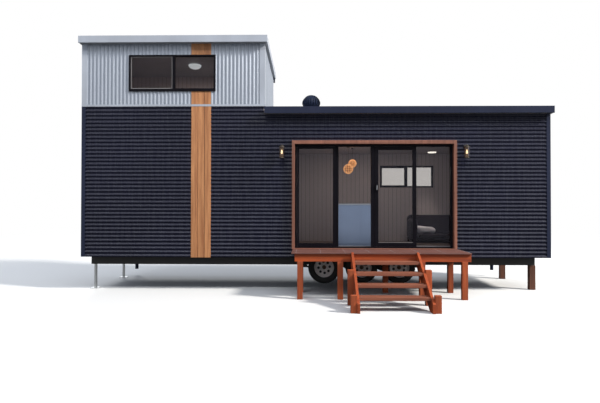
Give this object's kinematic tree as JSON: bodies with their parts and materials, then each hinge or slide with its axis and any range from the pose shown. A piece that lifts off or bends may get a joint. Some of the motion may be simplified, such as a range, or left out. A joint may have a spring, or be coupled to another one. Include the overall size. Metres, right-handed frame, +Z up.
{
  "type": "tiny house",
  "caption": "Long single room on a trailer, clad in dark corrugated steel, with a bright loft box, a wide sliding door in a timber surround, a deck with an open stair and a roof ventilator.",
  "frame": {"origin": "on the lowest ground, under the middle of the whole assembly with its roof edges, rear gutter and stair", "axes": "+X along the front wall towards its right end as seen from the front, +Y from the front wall to the back wall, +Z up; the front with the door, deck and stair faces -Y"},
  "size_m": [9.35, 4.655, 5.0624],
  "materials": {
    "dark_steel": "satin dark grey blue coating on corrugated steel",
    "dark_trim": "satin dark grey folded trim and gutters",
    "zinc_steel": "bright zinc coated corrugated steel",
    "pale_trim": "satin pale grey folded fascia",
    "roof_steel": "satin grey ribbed roof panel",
    "cedar": "oiled warm brown boards",
    "surround_timber": "oiled timber",
    "deck_timber": "red brown stained timber",
    "grey_timber": "weathered red brown timber",
    "wall_lining": "pale painted lining over a framed wall",
    "floor_board": "matt floor boards",
    "black_frame": "black powder coated window and door sections",
    "clear_glass": "clear glass with a faint grey tint",
    "chassis_steel": "black painted steel sections",
    "galvanised": "galvanised steel",
    "tyre": "black rubber tyre on a pale grey steel rim",
    "vent_metal": "dark coated ventilator metal",
    "lamp_body": "dark bronze lantern metal",
    "lamp_glass": "clear lantern jar",
    "bench_paint": "pale blue bench front under a white top",
    "pendant_wood": "amber openwork wood globe",
    "lamp_white": "white lamp diffuser",
    "sofa_cloth": "dark woven cloth",
    "cushion_cloth": "pale patterned cloth"
  },
  "bodies": {
    "house": {"chassis_rails": "chassis_steel", "floor_joists": "chassis_steel", "floor": "floor_board", "front_wall_left": "wall_lining", "front_wall_right": "wall_lining", "front_wall_over_door": "wall_lining", "back_wall": "wall_lining", "end_walls": "wall_lining", "ceiling": "wall_lining", "loft_floor": "wall_lining", "loft_front_wall": "wall_lining", "loft_back_wall": "wall_lining", "loft_side_walls": "wall_lining", "front_cladding": "dark_steel", "back_cladding": "dark_steel", "end_cladding": "dark_steel", "loft_front_cladding": "zinc_steel", "loft_rear_cladding": "zinc_steel", "corner_flashings": "dark_trim", "loft_flashings": "pale_trim", "timber_strip": "cedar", "main_roof": "roof_steel", "loft_roof": "roof_steel", "main_roof_fascia": "dark_trim", "loft_roof_fascia": "pale_trim", "rear_drainage": "dark_trim", "window_frames": "black_frame", "fixed_glass": "clear_glass", "door_surround": "surround_timber", "door_frame": "black_frame", "deck_boards": "deck_timber", "deck_frame": "deck_timber", "deck_joists": "deck_timber", "deck_posts": "deck_timber", "stair_stringers": "deck_timber", "stair_treads": "deck_timber", "stair_posts": "deck_timber", "axles": "chassis_steel", "suspension": "chassis_steel", "steadying_legs": "galvanised", "support_posts": "grey_timber", "vent_base": "vent_metal", "lantern_brackets": "lamp_body", "lantern_jars": "lamp_glass", "kitchen_bench": "bench_paint", "pendant_lamps": "pendant_wood", "ceiling_lamps": "lamp_white", "sofa": "sofa_cloth", "sofa_cushion": "cushion_cloth"},
    "left_sash": {"left_sash": "black_frame", "left_sash_glass": "clear_glass"},
    "right_sash": {"right_sash": "black_frame", "right_sash_glass": "clear_glass"},
    "vent_rotor": {"vent_rotor": "vent_metal"},
    "wheel_front_1": {"wheel_front_1": "tyre"},
    "wheel_front_2": {"wheel_front_2": "tyre"},
    "wheel_front_3": {"wheel_front_3": "tyre"},
    "wheel_back_1": {"wheel_back_1": "tyre"},
    "wheel_back_2": {"wheel_back_2": "tyre"},
    "wheel_back_3": {"wheel_back_3": "tyre"}
  },
  "joints": [
    {"name": "left_sash_slide", "type": "slide", "parent": "house", "child": "left_sash", "axis": [1, 0, 0], "range_m": [0, 0.68]},
    {"name": "right_sash_slide", "type": "slide", "parent": "house", "child": "right_sash", "axis": [1, 0, 0], "range_m": [0, 0.68]},
    {"name": "vent_spin", "type": "hinge", "parent": "house", "child": "vent_rotor", "pos_m": [-0.055, 0.6075, 3.9], "axis": [0, 0, 1], "continuous": true},
    {"name": "wheel_front_1_spin", "type": "hinge", "parent": "house", "child": "wheel_front_1", "pos_m": [0.205, -0.005, 0.465], "axis": [0, 1, 0], "continuous": true},
    {"name": "wheel_front_2_spin", "type": "hinge", "parent": "house", "child": "wheel_front_2", "pos_m": [0.955, -0.005, 0.465], "axis": [0, 1, 0], "continuous": true},
    {"name": "wheel_front_3_spin", "type": "hinge", "parent": "house", "child": "wheel_front_3", "pos_m": [1.705, -0.005, 0.465], "axis": [0, 1, 0], "continuous": true},
    {"name": "wheel_back_1_spin", "type": "hinge", "parent": "house", "child": "wheel_back_1", "pos_m": [0.205, 2.02, 0.465], "axis": [0, 1, 0], "continuous": true},
    {"name": "wheel_back_2_spin", "type": "hinge", "parent": "house", "child": "wheel_back_2", "pos_m": [0.955, 2.02, 0.465], "axis": [0, 1, 0], "continuous": true},
    {"name": "wheel_back_3_spin", "type": "hinge", "parent": "house", "child": "wheel_back_3", "pos_m": [1.705, 2.02, 0.465], "axis": [0, 1, 0], "continuous": true}
  ]
}
